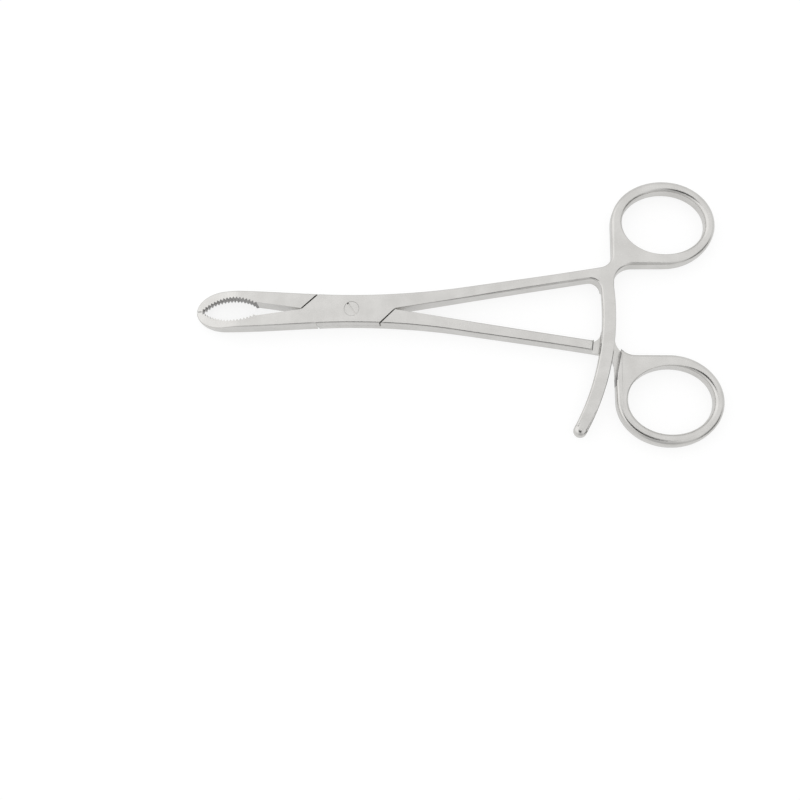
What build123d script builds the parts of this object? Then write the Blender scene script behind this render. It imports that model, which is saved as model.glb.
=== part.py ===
from build123d import *
import os
from math import asin, atan2, cos, degrees, hypot, radians, sin, sqrt, tan

# Bone holding forceps: two forged halves cross in a half-lap joint and turn on one screw.
# Origin: on the screw's axis, in the flat underside of the joint. +X points to the finger
# rings, +Z out of the face that holds the screw's head. All sizes are in millimetres.
# One half is drawn here with its jaw at +Y, its shank at -Y and its lap layer underneath.
# That is the catch half. Turned over about the X axis, the same forging is the ratchet half,
# but for its jaw, which is mirrored, since both noses slope down from the face with the screw.

# Thicknesses, along Z
LOCK_THICKNESS = 6.4
SHANK_THICKNESS = 5.3
NOSE_TIP_THICKNESS = 2.35
LAYER_GAP = 0.05

# Jaws
JAW_LENGTH = 51.7
JAW_HALF_WIDTH = 6.3
NOSE_LENGTH = 9.7
NOSE_SLOPE_LENGTH = 13.3
NOSE_BLEND = 15.0
TIP_GAP = 0.5
BITE_RADIUS = 17.25
BITE_DEPTH = 3.9
BITE_SETBACK = 12.4
BITE_LENGTH = 20.4
TOOTH_COUNT = 18
TOOTH_HEIGHT = 0.5

# Half-lap joint: each layer is a six-sided lap with a corner on the centre line at both ends
WAIST_HALF_WIDTH = 4.75
LAP_FRONT = 16.7
LAP_FRONT_ANGLE = 43.0
LAP_REAR = 14.3
LAP_REAR_ANGLE = 45.6
LAP_GAP = 0.35
SLIT_GAP = 0.34

# Pivot screw
HEAD_DIAMETER = 4.8
HEAD_THICKNESS = 1.4
HEAD_SINK = 0.05
SHOULDER_DIAMETER = 3.8
THREAD_DIAMETER = 3.2
RUNNING_CLEARANCE = 0.05
SLOT_WIDTH = 0.6
SLOT_DEPTH = 0.7
SLOT_ANGLE = -55.0

# Shanks: widths across, and places along X counted from the screw
SHANK_MID = 35.0
SHANK_MID_WIDTH = 3.85
SHANK_END_WIDTH = 3.6
SHANK_END_SLOPE = 0.17
SHANK_STRAIGHT_END = 7.0
TAPER_START = 15.5
TAPER_END = 38.0

# Finger rings: each is an oval, its hole set a little towards the far end
RING_SPREAD = 29.8
RING_SETBACK = 1.45
RING_LENGTH = 33.8
RING_WIDTH = 29.5
RING_HOLE_LENGTH = 26.9
RING_HOLE_WIDTH = 22.0
RING_HOLE_SHIFT = 0.15
WEB_SETBACK = 0.4
OUTER_CORNER_RADIUS = 4.5
WEB_CORNER_RADIUS = 6.0
INNER_CORNER_RADIUS = 3.5

# Ratchet: the bar and the groove of its catch both curve about the screw
BAR_RADIUS = 83.15
BAR_WIDTH = 4.3
BAR_THICKNESS = 2.5
BAR_END_ANGLE = -28.5
BAR_TOOTH_START_ANGLE = -8.0
GROOVE_INSIDE = 4.5
GROOVE_OUTSIDE = 4.5
RATCHET_PITCH_ANGLE = 0.62
RATCHET_TOOTH_HEIGHT = 0.35
RATCHET_CREST_GAP = 0.2

# Edge rounding
BLADE_ROUND = 0.4
RING_ROUND = 1.4
BAR_ROUND = 0.5
HEAD_BEVEL = 0.15

# Worked-out places
MID_Z = LOCK_THICKNESS / 2
BITE_CENTRE = JAW_LENGTH - BITE_SETBACK
BITE_BACK = JAW_LENGTH - BITE_LENGTH
SHANK_TOP = MID_Z + SHANK_THICKNESS / 2
LAP_TOP = MID_Z - LAYER_GAP / 2
RING_LEFT = BAR_RADIUS + RING_SETBACK
RING_CENTRE = RING_LEFT + RING_LENGTH / 2
RING_NEAR_SIDE = RING_SPREAD - RING_WIDTH / 2
BAR_INNER = BAR_RADIUS - BAR_WIDTH / 2
BAR_OUTER = BAR_RADIUS + BAR_WIDTH / 2
BAR_UNDERSIDE = SHANK_TOP - BAR_THICKNESS
GROOVE_INNER = BAR_RADIUS - GROOVE_INSIDE
GROOVE_OUTER = BAR_RADIUS + GROOVE_OUTSIDE
CATCH_CREST = BAR_UNDERSIDE - RATCHET_CREST_GAP
CATCH_FLOOR = CATCH_CREST - RATCHET_TOOTH_HEIGHT
WEB_CORNER = RING_LEFT + WEB_SETBACK

# Larger than the whole forceps, for cutting tools, and how far a tooth's cutter overruns
SPAN = 300.0
CUTTER_OVERRUN = 1.0

# Steepest wall that counts as upright, by its normal's Z, and how near a seam a wall lies on it
UPRIGHT_LIMIT = 0.3
SEAM_TOLERANCE = 0.01

# Share of the inner corner's radius that stays clear between its round and the bar's start
ROOT_MARGIN = 1.15


def lap_corner_x(reach, angle, y):
    """Distance from the screw of a lap's slanted edge at a height y off the centre line."""
    return reach - y / tan(radians(angle))


def inner_edge_y(x):
    """Height off the centre line of a shank's straight inner edge at x."""
    start = lap_corner_x(LAP_REAR, LAP_REAR_ANGLE, SLIT_GAP / 2)
    rise = RING_NEAR_SIDE - SHANK_END_WIDTH - SLIT_GAP / 2
    return SLIT_GAP / 2 + rise * (x - start) / (RING_LEFT - start)


def bar_root_angle():
    """Angle about the screw where the bar starts, clear of the rounded inner corner."""
    corner = atan2(inner_edge_y(BAR_INNER), BAR_INNER)
    return degrees(corner - ROOT_MARGIN * INNER_CORNER_RADIUS / BAR_INNER)


def sector(radius_in, radius_out, angle_from, angle_to, z_from, z_to):
    """A block of a ring about the screw's axis, between two radii and two angles."""
    size = angle_to - angle_from
    inner = CenterArc((0, 0), radius_in, angle_from, size)
    outer = CenterArc((0, 0), radius_out, angle_from, size)
    face = make_face([inner, outer, Line(inner @ 0, outer @ 0), Line(inner @ 1, outer @ 1)])
    return Pos(0, 0, z_from) * extrude(face, z_to - z_from)


def jaw_side_curve():
    """Outer edge from the nose, over the widest place, to the waist beside the screw."""
    back = NOSE_LENGTH - JAW_LENGTH
    start_angle = 180 - degrees(asin(TIP_GAP / 2 / JAW_HALF_WIDTH))
    nose = EllipticalCenterArc(
        (back, 0), NOSE_LENGTH, JAW_HALF_WIDTH, start_angle, arc_size=90 - start_angle
    )
    side = Spline(
        (back, JAW_HALF_WIDTH), (0, WAIST_HALF_WIDTH), tangents=[(1, 0), (1, 0)]
    )
    return nose, side


def shank_side_curve():
    """Outer edge from the waist to the end of the shank, where it meets the ring's web."""
    bend_x = RING_LEFT - SHANK_STRAIGHT_END
    bend = (bend_x, RING_NEAR_SIDE - SHANK_END_SLOPE * SHANK_STRAIGHT_END)
    middle = (SHANK_MID, inner_edge_y(SHANK_MID) + SHANK_MID_WIDTH)
    slope = (bend[1] - middle[1]) / (bend[0] - middle[0])
    curve = Spline(
        (0, WAIST_HALF_WIDTH),
        middle,
        bend,
        tangents=[(1, 0), (1, slope), (1, SHANK_END_SLOPE)],
    )
    return curve, Line(bend, (RING_LEFT, RING_NEAR_SIDE))


def bite_points():
    """Zigzag of the jaw's teeth along the round bite, from the tip to the back."""
    centre_y = BITE_DEPTH - BITE_RADIUS
    root = BITE_RADIUS + TOOTH_HEIGHT / 2
    crest = BITE_RADIUS - TOOTH_HEIGHT / 2
    first = 180 - degrees(asin((TIP_GAP / 2 - centre_y) / root))
    last = degrees(asin(sqrt(1 - ((BITE_CENTRE - BITE_BACK) / root) ** 2)))
    points = []
    for step in range(2 * TOOTH_COUNT + 1):
        angle = radians(first + (last - first) * step / (2 * TOOTH_COUNT))
        radius = crest if step % 2 else root
        points.append((radius * cos(angle) - BITE_CENTRE, centre_y + radius * sin(angle)))
    return points


def blade_band():
    """Plan of the joint between its two waisted sides, from the jaws to the shanks."""
    top = [jaw_side_curve()[1], shank_side_curve()[0]]
    low = [mirror(edge, Plane.XZ) for edge in top]
    ends = [Line(top[0] @ 0, low[0] @ 0), Line(top[1] @ 1, low[1] @ 1)]
    return make_face([*top, *low, *ends])


def lap_plan():
    """Plan of one lap layer: full lines where the half goes on, set back where it is free."""
    wide = 2 * WAIST_HALF_WIDTH
    front = -lap_corner_x(LAP_FRONT, LAP_FRONT_ANGLE, wide)
    rear = lap_corner_x(LAP_REAR, LAP_REAR_ANGLE, wide)
    front_gap = LAP_GAP / sin(radians(LAP_FRONT_ANGLE))
    rear_gap = LAP_GAP / sin(radians(LAP_REAR_ANGLE))
    outline = Polyline(
        (front, wide),
        (rear - rear_gap, wide),
        (LAP_REAR - rear_gap, 0),
        (LAP_REAR, 0),
        (rear, -wide),
        (front + front_gap, -wide),
        (front_gap - LAP_FRONT, 0),
        (-LAP_FRONT, 0),
        close=True,
    )
    return make_face(outline) & blade_band()


def jaw_plan():
    """Plan of the full-thickness jaw, with its nose, its teeth and the slit behind them."""
    nose, side = jaw_side_curve()
    teeth = bite_points()
    corner = (-lap_corner_x(LAP_FRONT, LAP_FRONT_ANGLE, SLIT_GAP / 2), SLIT_GAP / 2)
    inner = Polyline(nose @ 0, *teeth, corner, (0, SLIT_GAP / 2))
    whole = make_face([nose, side, inner, Line((0, SLIT_GAP / 2), side @ 1)])
    wide = 2 * WAIST_HALF_WIDTH
    shoulder = -lap_corner_x(LAP_FRONT, LAP_FRONT_ANGLE, wide)
    beyond = Polyline((-LAP_FRONT, 0), (shoulder, wide), (SPAN, wide), (SPAN, 0), close=True)
    return whole - make_face(beyond)


def shank_plan():
    """Plan of the full-thickness shank at +Y, from the joint's rear shoulder into the web."""
    curve, tail = shank_side_curve()
    start = (0, SLIT_GAP / 2)
    corner = (lap_corner_x(LAP_REAR, LAP_REAR_ANGLE, SLIT_GAP / 2), SLIT_GAP / 2)
    end = (RING_LEFT, inner_edge_y(RING_LEFT))
    inner = Polyline(tail @ 1, end, corner, start, curve @ 0)
    wide = 2 * WAIST_HALF_WIDTH
    shoulder = lap_corner_x(LAP_REAR, LAP_REAR_ANGLE, wide)
    beyond = Polyline((LAP_REAR, 0), (shoulder, wide), (-SPAN, wide), (-SPAN, 0), close=True)
    return make_face([curve, tail, inner]) - make_face(beyond)


def bar_root_plan():
    """Plan of the ratchet's root, from beyond its own start up into the shank and the web."""
    start = bar_root_angle()
    low = start / 2
    middle_y = inner_edge_y(BAR_INNER) + SHANK_END_WIDTH / 2
    inner = CenterArc((0, 0), BAR_INNER, low, degrees(asin(middle_y / BAR_INNER)) - low)
    outer = CenterArc((0, 0), BAR_OUTER, low, start - low)
    corner = (WEB_CORNER, RING_NEAR_SIDE)
    return make_face(
        [inner, outer, Line(inner @ 0, outer @ 0), Line(outer @ 1, corner), Line(corner, inner @ 1)]
    )


def web_plan():
    """Plan of the flat web that squares off the ring's corner next to the shank."""
    middle = inner_edge_y(RING_LEFT) + SHANK_END_WIDTH / 2
    outline = Polyline(
        (RING_LEFT, RING_SPREAD),
        (RING_LEFT, middle),
        (WEB_CORNER, RING_NEAR_SIDE),
        (RING_CENTRE, RING_NEAR_SIDE),
        (RING_CENTRE, RING_SPREAD),
        close=True,
    )
    return make_face(outline)


def handle_plan():
    """Plan of a shank at +Y with its ring, web and the root of the ratchet, hole cut."""
    ring = Pos(RING_CENTRE, RING_SPREAD) * Ellipse(RING_LENGTH / 2, RING_WIDTH / 2)
    plan = shank_plan() + web_plan() + ring + bar_root_plan()
    for place, radius in (
        ((BAR_INNER, inner_edge_y(BAR_INNER)), INNER_CORNER_RADIUS),
        ((RING_LEFT, RING_NEAR_SIDE), OUTER_CORNER_RADIUS),
        ((WEB_CORNER, RING_NEAR_SIDE), WEB_CORNER_RADIUS),
    ):
        plan = fillet(plan.vertices().sort_by_distance(place)[0], radius)
    hole = Pos(RING_CENTRE + RING_HOLE_SHIFT, RING_SPREAD) * Ellipse(
        RING_HOLE_LENGTH / 2, RING_HOLE_WIDTH / 2
    )
    return plan - hole


def jaw_profile():
    """A jaw seen from the side: flat underneath, its nose sloping down from the level top."""
    nose_back = (NOSE_SLOPE_LENGTH - JAW_LENGTH, LOCK_THICKNESS)
    outline = Polyline(
        (0, 0),
        (-JAW_LENGTH, 0),
        (-JAW_LENGTH, NOSE_TIP_THICKNESS),
        nose_back,
        (0, LOCK_THICKNESS),
        close=True,
    )
    face = make_face(outline)
    bend = face.vertices().sort_by_distance(nose_back)[0]
    return extrude(Plane.XZ * fillet(bend, NOSE_BLEND), SPAN, both=True)


def handle_profile():
    """A handle seen from the side: level at the joint, then thinning down on both faces."""
    rise = (LOCK_THICKNESS - SHANK_THICKNESS) / 2
    outline = Polyline(
        (0, LOCK_THICKNESS),
        (TAPER_START, LOCK_THICKNESS),
        (TAPER_END, SHANK_TOP),
        (SPAN, SHANK_TOP),
        (SPAN, rise),
        (TAPER_END, rise),
        (TAPER_START, 0),
        (0, 0),
        close=True,
    )
    return extrude(Plane.XZ * make_face(outline), SPAN, both=True)


def rounded(solid, radius, wanted):
    """The solid with the upper and lower rims of its wanted walls rounded."""
    walls = []
    lids = []
    for face in solid.faces():
        upright = abs(face.normal_at(face.center()).Z) < UPRIGHT_LIMIT
        (walls if upright else lids).append(face)
    lid_edges = [edge for face in lids for edge in face.edges()]
    rims = [edge for wall in walls if wanted(wall) for edge in wall.edges() if edge in lid_edges]
    return fillet(rims, radius)


def is_curved(wall):
    """True on the smooth outer wall of a jaw."""
    return wall.geom_type != GeomType.PLANE


def is_free(wall):
    """True on a wall of a handle's zone that isn't where the zone meets the next one."""
    centre = wall.center()
    radius = hypot(centre.X, centre.Y)
    on_groove = min(abs(radius - GROOVE_INNER), abs(radius - GROOVE_OUTER)) < SEAM_TOLERANCE
    on_root = abs(degrees(atan2(centre.Y, centre.X)) - bar_root_angle()) < SEAM_TOLERANCE
    return centre.X > LAP_REAR and not on_groove and not on_root


def is_outer(wall):
    """True on a free wall on the outer side of a shank."""
    centre = wall.center()
    return is_free(wall) and centre.Y > inner_edge_y(centre.X) + SHANK_END_WIDTH / 2


def jaw():
    """The jaw of the catch half."""
    solid = extrude(jaw_plan(), LOCK_THICKNESS) & jaw_profile()
    return rounded(solid, BLADE_ROUND, is_curved)


def lap_layer():
    """One lap layer with its outer face down, before it is drilled."""
    solid = extrude(lap_plan(), LAP_TOP)
    rims = [edge for edge in solid.faces().sort_by(Axis.Z)[0].edges() if not is_straight(edge)]
    return fillet(rims, BLADE_ROUND)


def is_straight(edge):
    """True on a straight edge."""
    return edge.geom_type == GeomType.LINE


def lower_lap():
    """The catch half's lap layer, drilled for the screw's thread."""
    return lap_layer() - Cylinder(THREAD_DIAMETER / 2, SPAN)


def handle():
    """Shank, ring and web in one, at +Y, before it is divided."""
    return extrude(handle_plan(), LOCK_THICKNESS) & handle_profile()


def upper_lap():
    """The ratchet half's lap layer, bored and counterbored for the screw."""
    solid = turned_over(lap_layer())
    bore = Cylinder(SHOULDER_DIAMETER / 2 + RUNNING_CLEARANCE, SPAN)
    seat = LOCK_THICKNESS - HEAD_SINK - HEAD_THICKNESS - RUNNING_CLEARANCE
    counterbore = Pos(0, 0, seat) * Cylinder(
        HEAD_DIAMETER / 2 + RUNNING_CLEARANCE,
        LOCK_THICKNESS,
        align=(Align.CENTER, Align.CENTER, Align.MIN),
    )
    return solid - bore - counterbore


def pivot_screw():
    """Slotted shoulder screw, its thread drawn as a plain shank in the lower layer."""
    up = (Align.CENTER, Align.CENTER, Align.MIN)
    head_top = LOCK_THICKNESS - HEAD_SINK
    head_base = head_top - HEAD_THICKNESS
    thread = Cylinder(THREAD_DIAMETER / 2, LAP_TOP, align=up)
    shoulder = Pos(0, 0, LAP_TOP) * Cylinder(SHOULDER_DIAMETER / 2, head_base - LAP_TOP, align=up)
    head = Pos(0, 0, head_base) * Cylinder(HEAD_DIAMETER / 2, HEAD_THICKNESS, align=up)
    head = chamfer(head.edges().sort_by(Axis.Z)[-1], HEAD_BEVEL)
    slot = Pos(0, 0, head_top - SLOT_DEPTH) * Rot(0, 0, SLOT_ANGLE) * Box(
        2 * HEAD_DIAMETER, SLOT_WIDTH, SLOT_DEPTH, align=up
    )
    return thread + shoulder + head - slot


def turned_over(solid):
    """The same forging turned over about the X axis through its own middle."""
    return Pos(0, 0, LOCK_THICKNESS) * Rot(180, 0, 0) * solid


def inside_radius(radius):
    """Everything nearer the screw's axis than a radius."""
    return Cylinder(radius, SPAN)


def above(z):
    """Everything above a height."""
    return Pos(0, 0, z) * Box(SPAN, SPAN, SPAN, align=(Align.CENTER, Align.CENTER, Align.MIN))


def handle_zones():
    """The handle at +Y as shank, web over the groove, and ring, which meet face to face."""
    whole = handle()
    near = inside_radius(GROOVE_INNER)
    far = inside_radius(GROOVE_OUTER)
    shank = rounded(whole & near, BLADE_ROUND, is_outer)
    ring = rounded(whole - far, RING_ROUND, is_free)
    return shank, (whole & far) - near, ring


def saw_teeth(angle_from, angle_to, base, rise, radius_in, radius_out):
    """Saw teeth across the ratchet between two angles, steep on the side away from zero."""
    length = radius_out - radius_in + 2 * CUTTER_OVERRUN
    pitch = radians(RATCHET_PITCH_ANGLE) * BAR_RADIUS
    profile = make_face(Polyline((0, 0), (pitch, 0), (0, rise), close=True))
    start = (radius_in - CUTTER_OVERRUN, 0, base)
    along = Plane(origin=start, x_dir=(0, 1, 0), z_dir=(1, 0, 0))
    tooth = extrude(along * profile, length)
    count = int((angle_to - angle_from) / RATCHET_PITCH_ANGLE)
    return [Rot(0, 0, angle_from + index * RATCHET_PITCH_ANGLE) * tooth for index in range(count)]


def bar_root(web):
    """The web with its stub cut square to the bar, where the bar's own node starts."""
    start = bar_root_angle()
    return web - sector(BAR_INNER / 2, 2 * BAR_OUTER, start - 90, start, -SPAN, SPAN)


def ratchet_catch(web):
    """Floor of the groove in the catch half, with the teeth that stand up to the bar."""
    low_angle = -degrees(asin(RING_SPREAD / GROOVE_OUTER))
    teeth = saw_teeth(
        low_angle, 0, CATCH_FLOOR, RATCHET_TOOTH_HEIGHT, GROOVE_INNER, GROOVE_OUTER
    )
    floor = web - above(CATCH_FLOOR)
    return floor + [tooth & web for tooth in teeth]


def ratchet_bar():
    """Half-thickness bar that curves about the screw, toothed underneath, round at its end."""
    arm = sector(
        BAR_INNER, BAR_OUTER, BAR_END_ANGLE, bar_root_angle(), BAR_UNDERSIDE, SHANK_TOP
    )
    end = Rot(0, 0, BAR_END_ANGLE) * Pos(BAR_RADIUS, 0, BAR_UNDERSIDE) * Cylinder(
        BAR_WIDTH / 2, BAR_THICKNESS, align=(Align.CENTER, Align.CENTER, Align.MIN)
    )
    notches = saw_teeth(
        BAR_END_ANGLE,
        BAR_TOOTH_START_ANGLE,
        BAR_UNDERSIDE,
        RATCHET_TOOTH_HEIGHT,
        BAR_INNER,
        BAR_OUTER,
    )
    blank = arm + end
    rims = [edge for edge in blank.faces().sort_by(Axis.Z)[-1].edges() if not is_straight(edge)]
    return fillet(rims, BAR_ROUND) - notches


def export_nodes():
    """Write one file for each node."""
    os.makedirs("parts", exist_ok=True)
    shank, web, ring = handle_zones()
    root = bar_root(web)
    nodes = {
        "catch_half_jaw": jaw(),
        "catch_half_lap": lower_lap(),
        "catch_half_shank": turned_over(shank),
        "catch_half_ring": turned_over(ring),
        "ratchet_half_jaw": mirror(jaw(), Plane.XZ),
        "ratchet_half_lap": upper_lap(),
        "ratchet_half_shank": shank,
        "ratchet_half_ring": ring,
        "ratchet_bar_root": rounded(root, BLADE_ROUND, is_free),
        "ratchet_bar": ratchet_bar(),
        "ratchet_catch": ratchet_catch(turned_over(root)),
        "pivot_screw": pivot_screw(),
    }
    for name, solid in nodes.items():
        solid.label = name
        export_step(solid, f"parts/{name}.step")


export_nodes()
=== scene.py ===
import logging
from dataclasses import dataclass, field
from enum import Enum
from math import asin, atan2, ceil, cos, degrees, hypot, pi, radians, sin, sqrt, tan
from typing import Callable, Iterable

import bpy
from bpy.types import Material, Mesh, Node, NodeSocket, NodeTree, Object
from mathutils import Matrix, Vector

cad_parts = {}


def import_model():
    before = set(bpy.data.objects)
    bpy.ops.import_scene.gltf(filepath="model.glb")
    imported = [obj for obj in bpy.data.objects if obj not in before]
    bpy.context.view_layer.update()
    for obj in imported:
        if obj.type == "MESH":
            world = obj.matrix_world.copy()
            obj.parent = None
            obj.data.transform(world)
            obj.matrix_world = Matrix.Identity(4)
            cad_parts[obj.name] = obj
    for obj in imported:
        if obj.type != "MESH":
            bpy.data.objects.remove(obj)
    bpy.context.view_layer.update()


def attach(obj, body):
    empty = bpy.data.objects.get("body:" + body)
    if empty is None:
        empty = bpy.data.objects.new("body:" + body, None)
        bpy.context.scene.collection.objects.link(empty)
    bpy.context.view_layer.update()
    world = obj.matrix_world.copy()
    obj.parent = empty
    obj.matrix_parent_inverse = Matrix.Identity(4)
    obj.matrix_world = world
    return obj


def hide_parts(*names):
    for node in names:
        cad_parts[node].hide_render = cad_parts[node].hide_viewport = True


# Bone holding forceps: two forged halves, crossed in a half-lap joint, and the screw they turn on.
# Sizes are in millimetres and are made metres when a blank is drawn. The frame is the packed
# model's: +X towards the finger rings, +Z out of the face with the screw's head, and the origin
# on the screw's axis in the underside of the joint.

log = logging.getLogger("forceps")
MM = 0.001
Point = tuple[float, float]
Pair = tuple[float, float]
Triple = tuple[float, float, float]
Grey = tuple[float, float, float, float]


class Half(Enum):
    """The two moving halves, by the name of the body that each rides on."""

    CATCH = "catch_half"
    RATCHET = "ratchet_half"


@dataclass(frozen=True)
class ForgingSizes:
    """Driving sizes that both halves share, in millimetres and degrees."""

    lock_thickness: float = 6.4
    shank_thickness: float = 5.3
    nose_tip_thickness: float = 2.35
    layer_gap: float = 0.05
    jaw_length: float = 51.7
    jaw_half_width: float = 6.3
    nose_length: float = 9.7
    nose_slope_length: float = 13.3
    nose_blend: float = 15.0
    tip_gap: float = 0.5
    bite_radius: float = 17.25
    bite_depth: float = 3.9
    bite_setback: float = 12.4
    bite_length: float = 20.4
    bite_flare: float = 0.55
    tooth_count: int = 18
    tooth_height: float = 0.7
    waist_half_width: float = 4.75
    lap_front: float = 16.7
    lap_front_angle: float = 43.0
    lap_rear: float = 14.3
    lap_rear_angle: float = 45.6
    lap_gap: float = 0.35
    slit_gap: float = 0.34
    shank_mid: float = 35.0
    shank_mid_width: float = 3.85
    shank_end_width: float = 3.6
    shank_end_slope: float = 0.17
    shank_straight_end: float = 7.0
    taper_start: float = 15.5
    taper_end: float = 38.0
    ring_left: float = 84.6
    ring_spread: float = 29.8
    ring_length: float = 33.8
    ring_width: float = 29.5
    hole_length: float = 26.9
    hole_width: float = 22.0
    hole_shift: float = 0.15
    web_setback: float = 0.4
    outer_corner_radius: float = 4.5
    web_corner_radius: float = 6.0
    inner_corner_radius: float = 3.5
    bar_radius: float = 83.15
    bar_width: float = 4.3
    bar_thickness: float = 2.5
    bar_end_angle: float = -28.5
    bar_tooth_start_angle: float = -8.0
    groove_half_width: float = 4.5
    ratchet_pitch_angle: float = 0.62
    ratchet_tooth_height: float = 0.35
    ratchet_crest_gap: float = 0.2
    root_margin: float = 1.15

    @property
    def mid_z(self) -> float:
        """Height of the plane that both halves are turned over about."""
        return self.lock_thickness / 2

    @property
    def shank_top(self) -> float:
        """Height of the shanks' upper face."""
        return self.mid_z + self.shank_thickness / 2

    @property
    def bar_underside(self) -> float:
        """Height of the ratchet bar's toothed underside."""
        return self.shank_top - self.bar_thickness

    @property
    def ring_centre(self) -> float:
        """Distance of a ring's centre from the screw, along X."""
        return self.ring_left + self.ring_length / 2

    @property
    def near_side(self) -> float:
        """Distance of a ring's near side from the centre line."""
        return self.ring_spread - self.ring_width / 2

    @property
    def bar_inner(self) -> float:
        """Radius of the ratchet bar's inner side about the screw."""
        return self.bar_radius - self.bar_width / 2

    @property
    def bar_outer(self) -> float:
        """Radius of the ratchet bar's outer side about the screw."""
        return self.bar_radius + self.bar_width / 2

    @property
    def bite_back(self) -> float:
        """Place along X where the bite ends and the slit between the jaws begins."""
        return self.bite_length - self.jaw_length

    @property
    def bite_centre(self) -> Point:
        """Centre of the round bite of the jaw at +Y."""
        return self.bite_setback - self.jaw_length, self.bite_depth - self.bite_radius

    def inner_edge_y(self, x: float) -> float:
        """Height of a shank's straight inner edge off the centre line at x."""
        start = self.lap_corner_x(self.lap_rear, self.lap_rear_angle, self.slit_gap / 2)
        rise = self.near_side - self.shank_end_width - self.slit_gap / 2
        return self.slit_gap / 2 + rise * (x - start) / (self.ring_left - start)

    def lap_corner_x(self, reach: float, angle: float, y: float) -> float:
        """Distance from the screw of a lap's slanted edge at a height y off the centre line."""
        return reach - y / tan(radians(angle))

    def bar_root_angle(self) -> float:
        """Angle about the screw at which the ratchet bar leaves its root, in degrees."""
        corner = atan2(self.inner_edge_y(self.bar_inner), self.bar_inner)
        return degrees(corner - self.root_margin * self.inner_corner_radius / self.bar_inner)


SIZES = ForgingSizes()


@dataclass(frozen=True)
class RimSizes:
    """Radii of the rounded and broken edges, in millimetres."""

    blade: float = 0.5
    shank_inner: float = 0.75
    ring_near: float = 1.25
    ring_far: float = 1.75
    hole_near: float = 0.4
    hole_far: float = 1.5
    broken: float = 0.07
    groove: float = 0.12
    groove_slope: float = 0.6
    bar_inner: float = 0.75
    bar_outer: float = 0.5
    bar_end: float = 2.0
    nose: float = 0.5


RIMS = RimSizes()
WAVE_STEPS = 28
RING_STEPS = 112
CORNER_STEPS = 12
TOLERANCE = 0.02


def blend_between(low: float, high: float, value: float) -> float:
    """Smooth step from 0 at low to 1 at high."""
    share = min(max((value - low) / (high - low), 0.0), 1.0)
    return share * share * (3.0 - 2.0 * share)


def grey(level: float) -> Grey:
    """An opaque grey."""
    return level, level, level, 1.0


def polar(radius: float, angle: float) -> Point:
    """Point at a radius and an angle in degrees about the origin."""
    return radius * cos(radians(angle)), radius * sin(radians(angle))


def oval_points(
    centre: Point, reach: Point, start: float, end: float, steps: int
) -> list[Point]:
    """Points along an oval's arc.

    Args:
        centre: centre of the oval.
        reach: half lengths of the oval along X and Y.
        start: angle of the first point, in degrees.
        end: angle of the last point, in degrees.
        steps: how many chords the arc is drawn with.

    Returns:
        The steps + 1 points in order.
    """
    turns = [radians(start + (end - start) * step / steps) for step in range(steps + 1)]
    return [(centre[0] + reach[0] * cos(turn), centre[1] + reach[1] * sin(turn)) for turn in turns]


def wave_points(start: Point, end: Point, slopes: Point, steps: int) -> list[Point]:
    """Points along a smooth curve that leaves and arrives at given slopes.

    Args:
        start: first point.
        end: last point.
        slopes: rise per unit of run at the start and at the end.
        steps: how many chords the curve is drawn with.

    Returns:
        The steps + 1 points in order.
    """
    run = end[0] - start[0]
    points = []
    for step in range(steps + 1):
        t = step / steps
        first = (1 + 2 * t) * (1 - t) ** 2
        last = t * t * (3 - 2 * t)
        leave = t * (1 - t) ** 2 * run * slopes[0]
        arrive = t * t * (t - 1) * run * slopes[1]
        points.append((start[0] + t * run, first * start[1] + last * end[1] + leave + arrive))
    return points


def corner_points(before: Point, corner: Point, after: Point, radius: float) -> list[Point]:
    """Points along the round that replaces a corner between two straight sides.

    Args:
        before: a point on the side that comes in.
        corner: the sharp corner.
        after: a point on the side that goes out.
        radius: radius of the round.

    Returns:
        The points of the round in order, from the side that comes in.
    """
    place = Vector(corner)
    come = (Vector(before) - place).normalized()
    leave = (Vector(after) - place).normalized()
    half = come.angle(leave) / 2
    centre = place + (come + leave).normalized() * radius / sin(half)
    first = place + come * radius / tan(half) - centre
    sweep = first.angle_signed(place + leave * radius / tan(half) - centre)
    points = []
    for step in range(CORNER_STEPS + 1):
        arm = first.copy()
        arm.rotate(Matrix.Rotation(-sweep * step / CORNER_STEPS, 2))
        points.append(tuple(centre + arm))
    return points


def between(start: Point, end: Point, steps: int) -> list[Point]:
    """Points that cut a straight side into equal steps, its two ends left out."""
    run = end[0] - start[0]
    rise = end[1] - start[1]
    shares = [step / steps for step in range(1, steps)]
    return [(start[0] + share * run, start[1] + share * rise) for share in shares]


def cut_at_shoulder(points: list[Point], reach: float, angle: float) -> list[Point]:
    """Keep a side's points as far as a lap's slanted shoulder, and end on it.

    Args:
        points: the side, starting on the part to keep and ending beyond the shoulder.
        reach: distance of the shoulder's corner from the screw, its sign saying which end.
        angle: slant of the shoulder, in degrees.

    Returns:
        The kept points, the last of them on the shoulder.
    """
    way = 1.0 if reach > 0 else -1.0

    def past(point: Point) -> float:
        return way * point[0] - (abs(reach) - abs(point[1]) / tan(radians(angle)))

    kept = [point for point in points if past(point) > 0]
    crossing = points[len(kept)]
    share = past(kept[-1]) / (past(kept[-1]) - past(crossing))
    last = tuple(a + share * (b - a) for a, b in zip(kept[-1], crossing))
    return kept + [last]


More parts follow.
